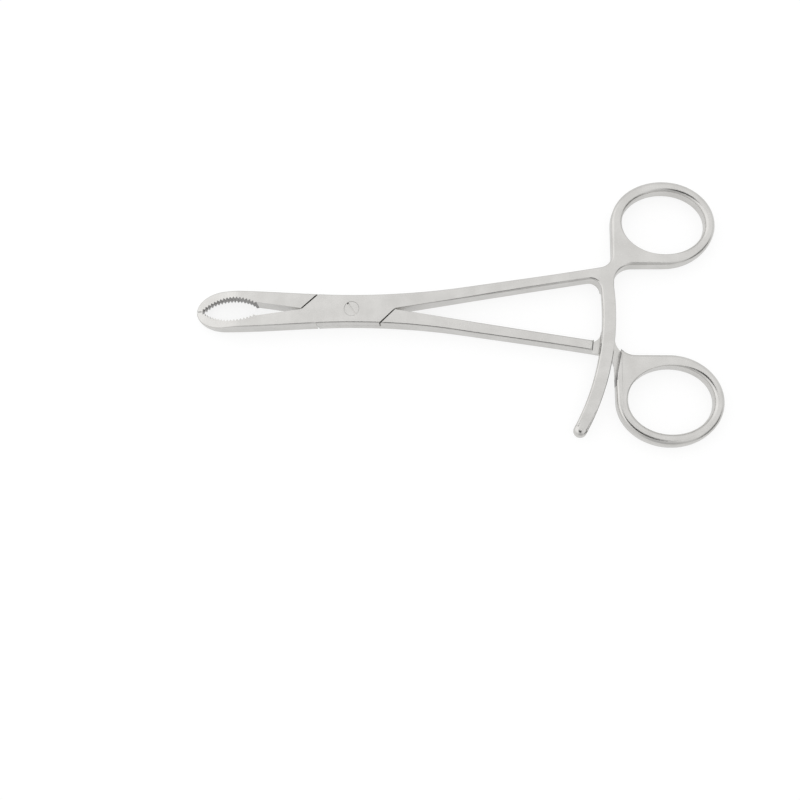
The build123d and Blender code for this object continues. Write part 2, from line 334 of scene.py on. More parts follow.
@dataclass(frozen=True)
class Saw:
    """A run of saw teeth about the screw, in millimetres and degrees."""

    start: float
    end: float
    inner: float
    outer: float
    root: float
    crest: float
    margin: float = 0.0
    steep: float = 0.06
    pitch: float = SIZES.ratchet_pitch_angle

    @property
    def count(self) -> int:
        """How many whole teeth the run holds."""
        return ceil((self.end - self.start) / self.pitch)

    @property
    def columns(self) -> list[Pair]:
        """Radius and crest height of each column of corners, from the inside out."""
        if not self.margin:
            return [(self.inner, self.crest), (self.outer, self.crest)]
        near = self.inner + self.margin
        far = self.outer - self.margin
        toothed = [(near, self.crest), (far, self.crest)]
        before = [(self.inner, self.root), (near - TOLERANCE, self.root)]
        after = [(far + TOLERANCE, self.root), (self.outer, self.root)]
        return before + toothed + after


class Bench:
    """The hand tools that shape a blank: each wraps a few mesh operators."""

    SHARP_FROM = 50.0
    SMOOTH_TO = 35.0
    BROAD_FACE_WEIGHT = 80

    @staticmethod
    def clear() -> None:
        """Deselect everything."""
        bpy.ops.object.select_all(action="DESELECT")

    @staticmethod
    def hold(piece: Object) -> None:
        """Make one piece the active and only selected one."""
        Bench.clear()
        piece.select_set(True)
        bpy.context.view_layer.objects.active = piece

    @staticmethod
    def settle() -> None:
        """Apply the place, turn and scale of the piece that is held."""
        bpy.ops.object.transform_apply(location=True, rotation=True, scale=True)

    @staticmethod
    def draw(name: str, outline: list[Point], z: float) -> Object:
        """Draw a flat blank.

        Args:
            name: name of the new object.
            outline: its corners in order, in millimetres.
            z: its height, in millimetres.

        Returns:
            A disc with one corner for each point, set onto the outline.
        """
        Bench.clear()
        bpy.ops.mesh.primitive_circle_add(vertices=len(outline), radius=MM, fill_type="NGON")
        blank = bpy.context.object
        blank.name = name
        blank.data.name = name
        for vertex, (x, y) in zip(blank.data.vertices, outline):
            vertex.co = (x * MM, y * MM, z * MM)
        return blank

    @staticmethod
    def thicken(blank: Object, rise: float) -> None:
        """Extrude a flat blank upwards by a rise in millimetres."""
        Bench.hold(blank)
        bpy.ops.object.mode_set(mode="EDIT")
        bpy.ops.mesh.select_all(action="SELECT")
        bpy.ops.mesh.extrude_region_move(TRANSFORM_OT_translate={"value": (0, 0, rise * MM)})
        bpy.ops.mesh.select_all(action="SELECT")
        bpy.ops.mesh.normals_make_consistent(inside=False)
        bpy.ops.object.mode_set(mode="OBJECT")

    @staticmethod
    def slice_at(blank: Object, places: Iterable[float]) -> None:
        """Cut new edges across a blank at places along X, in millimetres."""
        Bench.hold(blank)
        bpy.ops.object.mode_set(mode="EDIT")
        for place in places:
            bpy.ops.mesh.select_all(action="SELECT")
            bpy.ops.mesh.bisect(plane_co=(place * MM, 0, 0), plane_no=(1, 0, 0))
        bpy.ops.object.mode_set(mode="OBJECT")

    @staticmethod
    def press(blank: Object, faces: Callable[[float], Pair]) -> None:
        """Press a level plate between two faces whose heights depend on the place along X.

        Args:
            blank: a plate as thick as the joint, with its underside at height 0.
            faces: heights of the plate's underside and top at x, all in millimetres.
        """
        for vertex in blank.data.vertices:
            low, high = faces(vertex.co.x / MM)
            share = vertex.co.z / MM / SIZES.lock_thickness
            vertex.co.z = (low + (high - low) * share) * MM

    @staticmethod
    def combine(blank: Object, tool: Object, operation: str) -> None:
        """Join a tool to a blank or cut it away, and throw the tool away."""
        Bench.hold(blank)
        change = blank.modifiers.new("cut", "BOOLEAN")
        change.operation = operation
        change.solver = "EXACT"
        change.object = tool
        bpy.ops.object.modifier_apply(modifier=change.name)
        bpy.data.objects.remove(tool)

    @staticmethod
    def round_rims(blank: Object, rule: Callable[[Vector], float], segments: int) -> None:
        """Round the sharp edges of a blank, each by the radius that a rule gives for it.

        Args:
            blank: the piece to round.
            rule: radius in millimetres for an edge's middle point in millimetres, 0 for none.
            segments: how many faces the round is drawn with.
        """
        mesh = blank.data
        turns = Bench.edge_turns(mesh)
        radii = []
        for edge in mesh.edges:
            middle = (mesh.vertices[edge.vertices[0]].co + mesh.vertices[edge.vertices[1]].co) / 2
            sharp = turns[edge.index] > radians(Bench.SHARP_FROM)
            radii.append(rule(middle / MM) if sharp else 0.0)
        widest = max(radii)
        weights = mesh.attributes.new("bevel_weight_edge", "FLOAT", "EDGE")
        weights.data.foreach_set("value", [radius / widest for radius in radii])
        Bench.hold(blank)
        change = blank.modifiers.new("round", "BEVEL")
        change.limit_method = "WEIGHT"
        change.offset_type = "OFFSET"
        change.width = widest * MM
        change.segments = segments
        change.use_clamp_overlap = False
        change.miter_outer = "MITER_SHARP"
        bpy.ops.object.modifier_apply(modifier=change.name)
        used = blank.data.attributes.get("bevel_weight_edge")
        if used:
            blank.data.attributes.remove(used)

    @staticmethod
    def edge_turns(mesh: Mesh) -> list[float]:
        """Angle between the two faces at each edge, in radians."""
        sides: list[list[Vector]] = [[] for _ in mesh.edges]
        for face in mesh.polygons:
            for loop in face.loop_indices:
                sides[mesh.loops[loop].edge_index].append(face.normal)
        return [pair[0].angle(pair[1], 0.0) if len(pair) == 2 else 0.0 for pair in sides]

    @staticmethod
    def smooth(blank: Object) -> None:
        """Shade a piece smooth over its slight edges, with its broad faces kept flat."""
        Bench.hold(blank)
        bpy.ops.object.shade_smooth_by_angle(angle=radians(Bench.SMOOTH_TO))
        change = blank.modifiers.new("flat faces", "WEIGHTED_NORMAL")
        change.keep_sharp = True
        change.weight = Bench.BROAD_FACE_WEIGHT
        bpy.ops.object.modifier_apply(modifier=change.name)

    @staticmethod
    def copy(piece: Object, name: str) -> Object:
        """Copy a piece with a mesh of its own."""
        Bench.hold(piece)
        bpy.ops.object.duplicate(linked=False)
        twin = bpy.context.object
        twin.name = name
        twin.data.name = name
        return twin

    @staticmethod
    def turn_over(piece: Object) -> None:
        """Turn a piece over about the X axis through the middle plane, as its twin lies."""
        Bench.hold(piece)
        middle = (0.0, 0.0, SIZES.mid_z * MM)
        bpy.ops.transform.rotate(value=pi, orient_axis="X", center_override=middle)
        Bench.settle()

    @staticmethod
    def mirror(piece: Object) -> None:
        """Mirror a piece to the other side of the centre line."""
        Bench.hold(piece)
        across = (False, True, False)
        bpy.ops.transform.mirror(constraint_axis=across, center_override=(0.0, 0.0, 0.0))
        Bench.settle()
        bpy.ops.object.mode_set(mode="EDIT")
        bpy.ops.mesh.select_all(action="SELECT")
        bpy.ops.mesh.normals_make_consistent(inside=False)
        bpy.ops.object.mode_set(mode="OBJECT")

    @staticmethod
    def saw_block(teeth: Saw, rise: float) -> Object:
        """Make a curved block about the screw whose lower or upper face is saw-toothed.

        Args:
            teeth: where the teeth lie and how large they are.
            rise: how far the block stands off the teeth, negative for downwards.

        Returns:
            The block, as a cutting tool.
        """
        Bench.clear()
        along = 2 * teeth.count
        across = len(teeth.columns) - 1
        bpy.ops.mesh.primitive_grid_add(x_subdivisions=across, y_subdivisions=along, size=2.0)
        block = bpy.context.object
        for vertex in block.data.vertices:
            step = round((vertex.co.y + 1) * along / 2)
            radius, crest = teeth.columns[round((vertex.co.x + 1) * across / 2)]
            part = step // 2 + (teeth.steep if step % 2 else 0.0)
            x, y = polar(radius, teeth.start + part * teeth.pitch)
            height = crest if step % 2 else teeth.root
            vertex.co = (x * MM, y * MM, height * MM)
        Bench.thicken(block, rise)
        return block


class PlanDrawing:
    """Outlines of the forging, drawn with the jaw or the shank at +Y."""

    @staticmethod
    def jaw_side() -> list[Point]:
        """Outer edge of a jaw, from its widest place to the waist beside the screw."""
        back = (SIZES.nose_length - SIZES.jaw_length, SIZES.jaw_half_width)
        return wave_points(back, (0.0, SIZES.waist_half_width), (0.0, 0.0), WAVE_STEPS)

    @staticmethod
    def shank_side() -> list[Point]:
        """Outer edge of a shank, from the waist to its straight end before the ring."""
        bend_x = SIZES.ring_left - SIZES.shank_straight_end
        bend = (bend_x, SIZES.near_side - SIZES.shank_end_slope * SIZES.shank_straight_end)
        middle_y = SIZES.inner_edge_y(SIZES.shank_mid) + SIZES.shank_mid_width
        middle = (SIZES.shank_mid, middle_y)
        slope = (bend[1] - middle[1]) / (bend[0] - middle[0])
        first = wave_points((0.0, SIZES.waist_half_width), middle, (0.0, slope), WAVE_STEPS)
        second = wave_points(middle, bend, (slope, SIZES.shank_end_slope), WAVE_STEPS)
        return first + second[1:]

    @staticmethod
    def teeth() -> list[Point]:
        """Zigzag of a jaw's teeth along the round bite, from the tip to the back."""
        centre_x, centre_y = SIZES.bite_centre
        root = SIZES.bite_radius + SIZES.tooth_height / 2
        crest = SIZES.bite_radius - SIZES.tooth_height / 2
        first = 180 - degrees(asin((SIZES.tip_gap / 2 - centre_y) / root))
        last = degrees(asin(sqrt(1 - ((SIZES.bite_back - centre_x) / root) ** 2)))
        points = []
        for step in range(2 * SIZES.tooth_count + 1):
            angle = first + (last - first) * step / (2 * SIZES.tooth_count)
            x, y = polar(crest if step % 2 else root, angle)
            points.append((centre_x + x, centre_y + y))
        return points

    @staticmethod
    def jaw() -> list[Point]:
        """Outline of a jaw: teeth, slit, slanted shoulder, side and nose."""
        half_slit = SIZES.slit_gap / 2
        corner_x = -SIZES.lap_corner_x(SIZES.lap_front, SIZES.lap_front_angle, half_slit)
        side = cut_at_shoulder(PlanDrawing.jaw_side(), -SIZES.lap_front, SIZES.lap_front_angle)
        back = SIZES.nose_length - SIZES.jaw_length
        start = 180 - degrees(asin(SIZES.tip_gap / 2 / SIZES.jaw_half_width))
        reach = (SIZES.nose_length, SIZES.jaw_half_width)
        nose = oval_points((back, 0.0), reach, 90.0, start, 2 * CORNER_STEPS)
        return PlanDrawing.teeth() + [(corner_x, half_slit)] + side[::-1] + nose[1:]

    @staticmethod
    def handle() -> list[Point]:
        """Outline of a shank with the ratchet's root, the web and the finger ring."""
        half_slit = SIZES.slit_gap / 2
        start = (SIZES.lap_corner_x(SIZES.lap_rear, SIZES.lap_rear_angle, half_slit), half_slit)
        root_in = polar(SIZES.bar_inner, SIZES.bar_root_angle())
        root_out = polar(SIZES.bar_outer, SIZES.bar_root_angle())
        corner_x = sqrt(SIZES.bar_inner**2 - SIZES.inner_edge_y(SIZES.bar_inner) ** 2)
        inner = (corner_x, SIZES.inner_edge_y(corner_x))
        web = (SIZES.ring_left + SIZES.web_setback, SIZES.near_side)
        below = (SIZES.ring_centre, SIZES.near_side)
        left = (SIZES.ring_left, SIZES.ring_spread)
        outer = (SIZES.ring_left, SIZES.near_side)
        side = PlanDrawing.shank_side()
        reach = (SIZES.ring_length / 2, SIZES.ring_width / 2)
        centre = (SIZES.ring_centre, SIZES.ring_spread)
        ring = oval_points(centre, reach, -90.0, 180.0, RING_STEPS * 3 // 4)
        shoulder = cut_at_shoulder(side[::-1], SIZES.lap_rear, SIZES.lap_rear_angle)
        inside = corner_points(start, inner, root_in, SIZES.inner_corner_radius)
        onto_web = corner_points(root_out, web, below, SIZES.web_corner_radius)
        onto_shank = corner_points(left, outer, side[-1], SIZES.outer_corner_radius)
        return [
            start,
            *between(start, inside[0], WAVE_STEPS),
            *inside,
            root_in,
            root_out,
            *onto_web,
            *between(onto_web[-1], ring[0], CORNER_STEPS),
            *ring,
            *between(ring[-1], onto_shank[0], CORNER_STEPS),
            *onto_shank,
            *shoulder,
        ]

    @staticmethod
    def lap() -> list[Point]:
        """Outline of the catch half's lap layer, which lies underneath."""
        front_gap = SIZES.lap_gap / sin(radians(SIZES.lap_front_angle))
        rear_gap = SIZES.lap_gap / sin(radians(SIZES.lap_rear_angle))
        jaw_side = PlanDrawing.jaw_side()
        shank_side = PlanDrawing.shank_side()[:WAVE_STEPS]
        free_front = SIZES.lap_front - front_gap
        free_rear = SIZES.lap_rear - rear_gap
        front, set_front = (
            cut_at_shoulder(jaw_side, -reach, SIZES.lap_front_angle)[-1]
            for reach in (SIZES.lap_front, free_front)
        )
        rear, set_rear = (
            cut_at_shoulder(shank_side[::-1], reach, SIZES.lap_rear_angle)[-1]
            for reach in (SIZES.lap_rear, free_rear)
        )
        top = [front, *(p for p in jaw_side if p[0] > front[0])]
        top += [*(p for p in shank_side[1:] if p[0] < set_rear[0]), set_rear]
        low = [set_front, *(p for p in jaw_side if p[0] > set_front[0])]
        low += [*(p for p in shank_side[1:] if p[0] < rear[0]), rear]
        return [
            (-SIZES.lap_front, 0.0),
            (-free_front, 0.0),
            *((x, -y) for x, y in low),
            (SIZES.lap_rear, 0.0),
            (free_rear, 0.0),
            *top[::-1],
        ]


# What feeds a node: its inputs by name or number, each a value or the socket that is linked.
Wiring = dict[str | int, float | tuple[float, ...] | NodeSocket]


class Graph:
    """A node tree that takes each node with its inputs in one call."""

    def __init__(self, tree: NodeTree) -> None:
        """Take hold of a tree."""
        self.tree = tree

    def add(self, kind: str, inputs: Wiring | None = None, **settings: object) -> Node:
        """Add a node.

        Args:
            kind: its type, without the word ShaderNode in front.
            inputs: its inputs by name or number, each a value or the socket that feeds it.
            settings: its own settings, made before the inputs.

        Returns:
            The new node.
        """
        node = self.tree.nodes.new(f"ShaderNode{kind}")
        for name, value in settings.items():
            setattr(node, name, value)
        self.wire(node, inputs or {})
        return node

    def wire(self, node: Node, inputs: Wiring) -> None:
        """Set a node's inputs, or link the sockets that feed them."""
        for name, value in inputs.items():
            if isinstance(value, NodeSocket):
                self.tree.links.new(value, node.inputs[name])
            else:
                node.inputs[name].default_value = value

    def noise(self, place: NodeSocket, scale: NodeSocket, detail: float) -> NodeSocket:
        """Add a noise texture and return its value."""
        looks = {"Detail": detail, "Scale": scale, "Vector": place}
        return self.add("TexNoise", looks).outputs["Fac"]

    def math(self, operation: str, *values: NodeSocket | float) -> NodeSocket:
        """Add a maths node and return its value."""
        return self.add("Math", dict(enumerate(values)), operation=operation).outputs["Value"]

    def mix(self, share: NodeSocket, first: NodeSocket, second: NodeSocket | Grey) -> NodeSocket:
        """Mix two colours and return the result."""
        parts = {"Factor": share, "A": first, "B": second}
        return self.add("Mix", parts, data_type="RGBA").outputs["Result"]

    def spread(
        self, value: NodeSocket, span: Pair, ends: Wiring | None = None, **settings: object
    ) -> NodeSocket:
        """Spread a span of a value over 0 to 1 or over other ends.

        Args:
            value: the socket to spread.
            span: the values that land on the two ends.
            ends: the node's To Min and To Max, where they are not 0 and 1.
            settings: other settings of the node.

        Returns:
            The socket with the result.
        """
        inputs = {"Value": value, "From Min": span[0], "From Max": span[1], **(ends or {})}
        return self.add("MapRange", inputs, **settings).outputs["Result"]


@dataclass(frozen=True)
class SteelFinish:
    """Satin stainless steel, with its own tone, grain and scratches."""

    name: str
    tone: Triple = (0.72, 0.71, 0.69)
    shade: Triple = (0.66, 0.65, 0.63)
    roughness: Pair = (0.2, 0.28)
    blast_scale: float = 2600.0
    mottle_scale: float = 160.0
    scratch_scale: float = 900.0
    depth: float = 0.000006

    def make(self) -> Material:
        """Build the material.

        Returns:
            A metal whose colour, roughness and bump come from the shared steel surface group.
        """
        material = bpy.data.materials.new(self.name)
        material.use_nodes = True
        graph = Graph(material.node_tree)
        looks = {
            "Tone": (*self.tone, 1.0),
            "Shade": (*self.shade, 1.0),
            "Smoothest": self.roughness[0],
            "Roughest": self.roughness[1],
            "Blast Scale": self.blast_scale,
            "Mottle Scale": self.mottle_scale,
            "Scratch Scale": self.scratch_scale,
        }
        surface = graph.add("Group", looks, node_tree=SteelSurface.group()).outputs
        bump = graph.add("Bump", {"Distance": self.depth, "Height": surface["Height"]})
        metal = {
            "Metallic": 1.0,
            "Base Color": surface["Color"],
            "Roughness": surface["Roughness"],
            "Normal": bump.outputs["Normal"],
        }
        graph.wire(material.node_tree.nodes["Principled BSDF"], metal)
        return material


class SteelSurface:
    """Shared node group: blasted grain, cloudy mottling and fine finishing scratches."""

    NAME = "steel surface"
    COLOURS = ("Tone", "Shade")
    VALUES = ("Smoothest", "Roughest", "Blast Scale", "Mottle Scale", "Scratch Scale")
    STRETCH = (0.06, 1.0, 1.0)
    BLAST_DETAIL = 3.0
    MOTTLE_DETAIL = 4.0
    SCRATCH_DETAIL = 2.0
    SCRATCH_SHARE = 0.5
    CLOUDS = (0.35, 0.65)
    GRAIN = (0.5, 1.0)

    @staticmethod
    def group() -> NodeTree:
        """Return the group, built the first time that it is asked for."""
        made = bpy.data.node_groups.get(SteelSurface.NAME)
        return made if made else SteelSurface.build()

    @staticmethod
    def build() -> NodeTree:
        """Build the group with its named inputs and outputs."""
        tree = bpy.data.node_groups.new(SteelSurface.NAME, "ShaderNodeTree")
        face = tree.interface
        for name in SteelSurface.COLOURS:
            face.new_socket(name, in_out="INPUT", socket_type="NodeSocketColor")
        for name in SteelSurface.VALUES:
            face.new_socket(name, in_out="INPUT", socket_type="NodeSocketFloat")
        face.new_socket("Color", in_out="OUTPUT", socket_type="NodeSocketColor")
        face.new_socket("Roughness", in_out="OUTPUT", socket_type="NodeSocketFloat")
        face.new_socket("Height", in_out="OUTPUT", socket_type="NodeSocketFloat")
        given = tree.nodes.new("NodeGroupInput").outputs
        result = tree.nodes.new("NodeGroupOutput")
        graph = Graph(tree)
        place = graph.add("TexCoord").outputs["Object"]
        stretch = {"Scale": SteelSurface.STRETCH, "Vector": place}
        along = graph.add("Mapping", stretch).outputs["Vector"]
        blast = graph.noise(place, given["Blast Scale"], SteelSurface.BLAST_DETAIL)
        mottle = graph.noise(place, given["Mottle Scale"], SteelSurface.MOTTLE_DETAIL)
        scratch = graph.noise(along, given["Scratch Scale"], SteelSurface.SCRATCH_DETAIL)
        cloud = graph.spread(mottle, SteelSurface.CLOUDS)
        grain = graph.math("MULTIPLY_ADD", scratch, SteelSurface.SCRATCH_SHARE, blast)
        ends = {"To Min": given["Smoothest"], "To Max": given["Roughest"]}
        looks = {
            "Color": graph.mix(cloud, given["Tone"], given["Shade"]),
            "Roughness": graph.spread(grain, SteelSurface.GRAIN, ends),
            "Height": grain,
        }
        graph.wire(result, looks)
        return tree


class Finishes:
    """The finishes of the instrument, made once."""

    def __init__(self) -> None:
        """Make each finish."""
        self.satin = SteelFinish("satin steel").make()
        self.ratchet = SteelFinish("ratchet steel").make()
        # Painted shade: a darker steel for the backward tooth flanks and the catch's groove walls,
        # standing in for the shade and dark reflections that fall there.
        self.cut = SteelFinish(
            "painted shade steel", tone=(0.34, 0.335, 0.33), shade=(0.26, 0.255, 0.25), roughness=(0.3, 0.4)
        ).make()
        self.screw = SteelFinish("screw steel", blast_scale=3600.0).make()


@dataclass
class Piece:
    """A finished piece, and what the frame has to know about it."""

    blank: Object
    half: Half
    replaces: tuple[str, ...]
    slot: str = "satin_steel"

    def paint_shade(self, rule: Callable[[Vector, Vector], bool]) -> None:
        """Give the painted shade finish, a darker steel, to the faces whose middle and normal a
        rule picks out.
        """
        for face in self.blank.data.polygons:
            face.material_index = 1 if rule(face.center / MM, face.normal) else 0

    def deliver(self, material: Material, cut: Material) -> None:
        """Dress the piece and hand it to the frame.

        Args:
            material: the finish that it is given.
            cut: the darker finish with painted shade for its marked faces, if it has any.
        """
        marked = any(face.material_index for face in self.blank.data.polygons)
        self.blank.data.materials.append(material)
        if marked:
            self.blank.data.materials.append(cut)
        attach(self.blank, self.half.value)
        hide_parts(*self.replaces)
        log.info("%s: %d faces", self.blank.name, len(self.blank.data.polygons))


@dataclass
class Jaws:
    """The two serrated jaws, mirror images of each other."""

    blend_slices: int = 6
    segments: int = 5
    flare_back: Pair = (0.5, -3.0)
    flare_front: Pair = (1.5, 6.0)
    flank_turn: float = 0.25
    flank_lean: float = 0.5
    pieces: list[Piece] = field(default_factory=list)

    @property
    def slope(self) -> float:
        """Angle that the nose slopes down at, in radians."""
        drop = SIZES.lock_thickness - SIZES.nose_tip_thickness
        return atan2(drop, SIZES.nose_slope_length)

    @property
    def bend(self) -> Pair:
        """Place of the nose's bend along X, and how far its round reaches to each side."""
        reach = SIZES.nose_blend * tan(self.slope / 2)
        return SIZES.nose_slope_length - SIZES.jaw_length, reach

    def faces(self, x: float) -> Pair:
        """Heights of the jaw's underside and top at x: level, then sloping down to the tip."""
        back, reach = self.bend
        if x >= back + reach:
            return 0.0, SIZES.lock_thickness
        if x <= back - reach * cos(self.slope):
            return 0.0, SIZES.lock_thickness - (back - x) * tan(self.slope)
        along = back + reach - x
        drop = SIZES.nose_blend - sqrt(SIZES.nose_blend**2 - along**2)
        return 0.0, SIZES.lock_thickness - drop

    def flare(self, blank: Object) -> None:
        """Lean the toothed bite outwards below, as its cutter left it."""
        behind = [SIZES.bite_back + step for step in self.flare_back]
        ahead = [step - SIZES.jaw_length for step in self.flare_front]
        for vertex in blank.data.vertices:
            place = vertex.co / MM
            if place.z <= TOLERANCE and self.is_inside(place):
                share = blend_between(*behind, place.x) * blend_between(*ahead, place.x)
                vertex.co.y += SIZES.bite_flare * share * MM

    def rim(self, middle: Vector) -> float:
        """Radius of the upper jaw's edge: rounded along its side, broken at its free shoulder."""
        low, high = self.faces(middle.x)
        if min(abs(middle.z - low), abs(middle.z - high)) > TOLERANCE:
            return 0.0
        if self.is_shoulder(middle):
            return RIMS.broken if middle.z > SIZES.mid_z else 0.0
        if self.is_inside(middle):
            return 0.0
        return RIMS.blade if middle.x > self.bend[0] else RIMS.nose

    def lower_rim(self, middle: Vector) -> float:
        """Radius of the lower jaw's edge, whose free shoulder lies underneath."""
        twin = Vector((middle.x, -middle.y, middle.z))
        if self.is_shoulder(twin):
            return RIMS.broken if middle.z < SIZES.mid_z else 0.0
        return self.rim(twin)

    def is_shoulder(self, middle: Vector) -> bool:
        """True on the slanted shoulder beside the joint."""
        shoulder = -SIZES.lap_corner_x(SIZES.lap_front, SIZES.lap_front_angle, middle.y)
        return abs(middle.x - shoulder) < TOLERANCE

    def is_inside(self, middle: Vector) -> bool:
        """True on the inner edge of the jaw, with its teeth and its slit."""
        if middle.x > SIZES.bite_back:
            return middle.y < SIZES.jaw_half_width / 2
        reach = (middle.to_2d() - Vector(SIZES.bite_centre)).length
        in_bite = reach < SIZES.bite_radius + SIZES.tooth_height
        return in_bite or middle.y < SIZES.tip_gap / 2 + TOLERANCE

    def make(self) -> None:
        """Model the catch half's jaw, then mirror a copy of it for the ratchet half."""
        upper = Bench.draw("upper_jaw", PlanDrawing.jaw(), 0.0)
        Bench.thicken(upper, SIZES.lock_thickness)
        back, reach = self.bend
        step = 2 * reach / self.blend_slices
        steps = range(self.blend_slices + 1)
        Bench.slice_at(upper, [back + reach - step * index for index in steps])
        self.flare(upper)
        Bench.press(upper, self.faces)
        lower = Bench.copy(upper, "lower_jaw")
        Bench.mirror(lower)
        Bench.round_rims(upper, self.rim, self.segments)
        Bench.round_rims(lower, self.lower_rim, self.segments)
        for blank, half in ((upper, Half.CATCH), (lower, Half.RATCHET)):
            Bench.smooth(blank)
            piece = Piece(blank, half, (f"{half.value}_jaw",))
            # Painted shade: the tooth flanks that look away from the tip get the darker steel.
            piece.paint_shade(self.is_shaded_flank)
            self.pieces.append(piece)

    def is_shaded_flank(self, middle: Vector, normal: Vector) -> bool:
        """True on the flank of a tooth that looks away from the tip, which is given painted shade.
        """
        side = 1.0 if middle.y > 0 else -1.0
        place = Vector((middle.x, side * middle.y, middle.z))
        toothed = middle.x < SIZES.bite_back and self.is_inside(place)
        inward = (Vector(SIZES.bite_centre) - place.to_2d()).normalized()
        backward = side * normal.y * inward.x - normal.x * inward.y
        return toothed and backward > self.flank_turn and abs(normal.z) < self.flank_lean


@dataclass
class LapJoint:
    """The two lap layers and the slotted shoulder screw that holds them."""

    head_diameter: float = 4.8
    head_thickness: float = 1.4
    head_sink: float = 0.05
    shoulder_diameter: float = 3.8
    thread_diameter: float = 3.2
    clearance: float = 0.05
    slot_width: float = 0.6
    slot_depth: float = 0.7
    slot_angle: float = -55.0
    segments: int = 5
    screw_segments: int = 3
    round_steps: int = 64
    hub_margin: float = 1.0
    pieces: list[Piece] = field(default_factory=list)
    screw: Piece | None = None

    @property
    def lap_top(self) -> float:
        """Height of the lower layer's upper face."""
        return SIZES.mid_z - SIZES.layer_gap / 2

    def cylinder(self, name: str, diameter: float, low: float, high: float) -> Object:
        """Add an upright cylinder on the screw's axis, sizes in millimetres."""
        Bench.clear()
        bpy.ops.mesh.primitive_cylinder_add(
            vertices=self.round_steps,
            radius=diameter / 2 * MM,
            depth=(high - low) * MM,
            location=(0.0, 0.0, (low + high) / 2 * MM),
        )
        Bench.settle()
        bpy.context.object.name = name
        return bpy.context.object

    def rim(self, middle: Vector) -> float:
        """Radius of a lap's edge: its sides as the blade's, its free slanted edges broken."""
        hub = SIZES.waist_half_width - self.hub_margin
        if middle.z > TOLERANCE or hypot(middle.x, middle.y) < hub:
            return 0.0
        if abs(middle.y) > SIZES.waist_half_width - RIMS.blade:
            side_x = self.slant_x(middle)
            if abs(middle.x) < side_x - TOLERANCE:
                return RIMS.blade
        joined = middle.x < 0 < middle.y or middle.y < 0 < middle.x
        return 0.0 if joined or abs(middle.y) < TOLERANCE else RIMS.broken

    def slant_x(self, middle: Vector) -> float:
        """Distance from the screw of the slanted edge level with a point, its gap taken off."""
        front = middle.x < 0
        reach = SIZES.lap_front if front else SIZES.lap_rear
        angle = SIZES.lap_front_angle if front else SIZES.lap_rear_angle
        joined = (middle.y > 0) == front
        gap = 0.0 if joined else SIZES.lap_gap / sin(radians(angle))
        return SIZES.lap_corner_x(reach, angle, abs(middle.y)) - gap

    def make(self) -> None:
        """Model the lower layer, turn a copy over for the upper one, and drill both."""
        lower = Bench.draw("lower_lap", PlanDrawing.lap(), 0.0)
        Bench.thicken(lower, self.lap_top)
        Bench.round_rims(lower, self.rim, self.segments)
        upper = Bench.copy(lower, "upper_lap")
        Bench.turn_over(upper)
        beyond = 2 * SIZES.lock_thickness
        bore = self.cylinder("bore", self.thread_diameter, -beyond, beyond)
        Bench.combine(lower, bore, "DIFFERENCE")
        bore = self.cylinder("bore", self.shoulder_diameter + 2 * self.clearance, -beyond, beyond)
        Bench.combine(upper, bore, "DIFFERENCE")
        seat = SIZES.lock_thickness - self.head_sink - self.head_thickness - self.clearance
        sink = self.cylinder("seat", self.head_diameter + 2 * self.clearance, seat, beyond)
        Bench.combine(upper, sink, "DIFFERENCE")
        for blank, half in ((lower, Half.CATCH), (upper, Half.RATCHET)):
            Bench.smooth(blank)
            self.pieces.append(Piece(blank, half, (f"{half.value}_lap",)))
        self.make_screw()

    def make_screw(self) -> None:
        """Turn the shoulder screw and mill its slot."""
        head_top = SIZES.lock_thickness - self.head_sink
        head_base = head_top - self.head_thickness
        screw = self.cylinder("shoulder_screw", self.head_diameter, head_base, head_top)
        Bench.hold(screw)
        self.step_down(self.head_diameter, self.shoulder_diameter, head_base, self.lap_top)
        self.step_down(self.shoulder_diameter, self.thread_diameter, self.lap_top, 0.0)
        Bench.clear()
        middle = (0.0, 0.0, (head_top - self.slot_depth + SIZES.mid_z) * MM)
        bpy.ops.mesh.primitive_cube_add(size=1.0, location=middle)
        slot = bpy.context.object
        slot.scale = (2 * self.head_diameter * MM, self.slot_width * MM, SIZES.lock_thickness * MM)
        slot.rotation_euler = (0.0, 0.0, radians(self.slot_angle))
        Bench.settle()
        Bench.combine(screw, slot, "DIFFERENCE")
        Bench.round_rims(screw, self.screw_rim, self.screw_segments)
        Bench.smooth(screw)
        self.screw = Piece(screw, Half.CATCH, ("pivot_screw",), "screw_steel")

    def step_down(self, wide: float, narrow: float, start: float, end: float) -> None:
        """Inset the screw's lowest face to a narrower diameter and extrude it down."""
        screw = bpy.context.object
        low = min(vertex.co.z for vertex in screw.data.vertices)
        for face in screw.data.polygons:
            face.select = abs(face.center.z - low) < TOLERANCE * MM and face.normal.z < -0.5
        for item in (*screw.data.vertices, *screw.data.edges):
            item.select = False
        bpy.ops.object.mode_set(mode="EDIT")
        bpy.ops.mesh.select_mode(type="FACE")
        bpy.ops.mesh.inset(thickness=(wide - narrow) / 2 * MM, depth=0.0)
        fall = {"value": (0.0, 0.0, (end - start) * MM)}
        bpy.ops.mesh.extrude_region_move(TRANSFORM_OT_translate=fall)
        bpy.ops.object.mode_set(mode="OBJECT")

    def screw_rim(self, middle: Vector) -> float:
        """Radius of the screw's edges: only those of its head and slot are broken."""
        return RIMS.broken / 2 if middle.z > SIZES.lock_thickness - self.slot_depth else 0.0


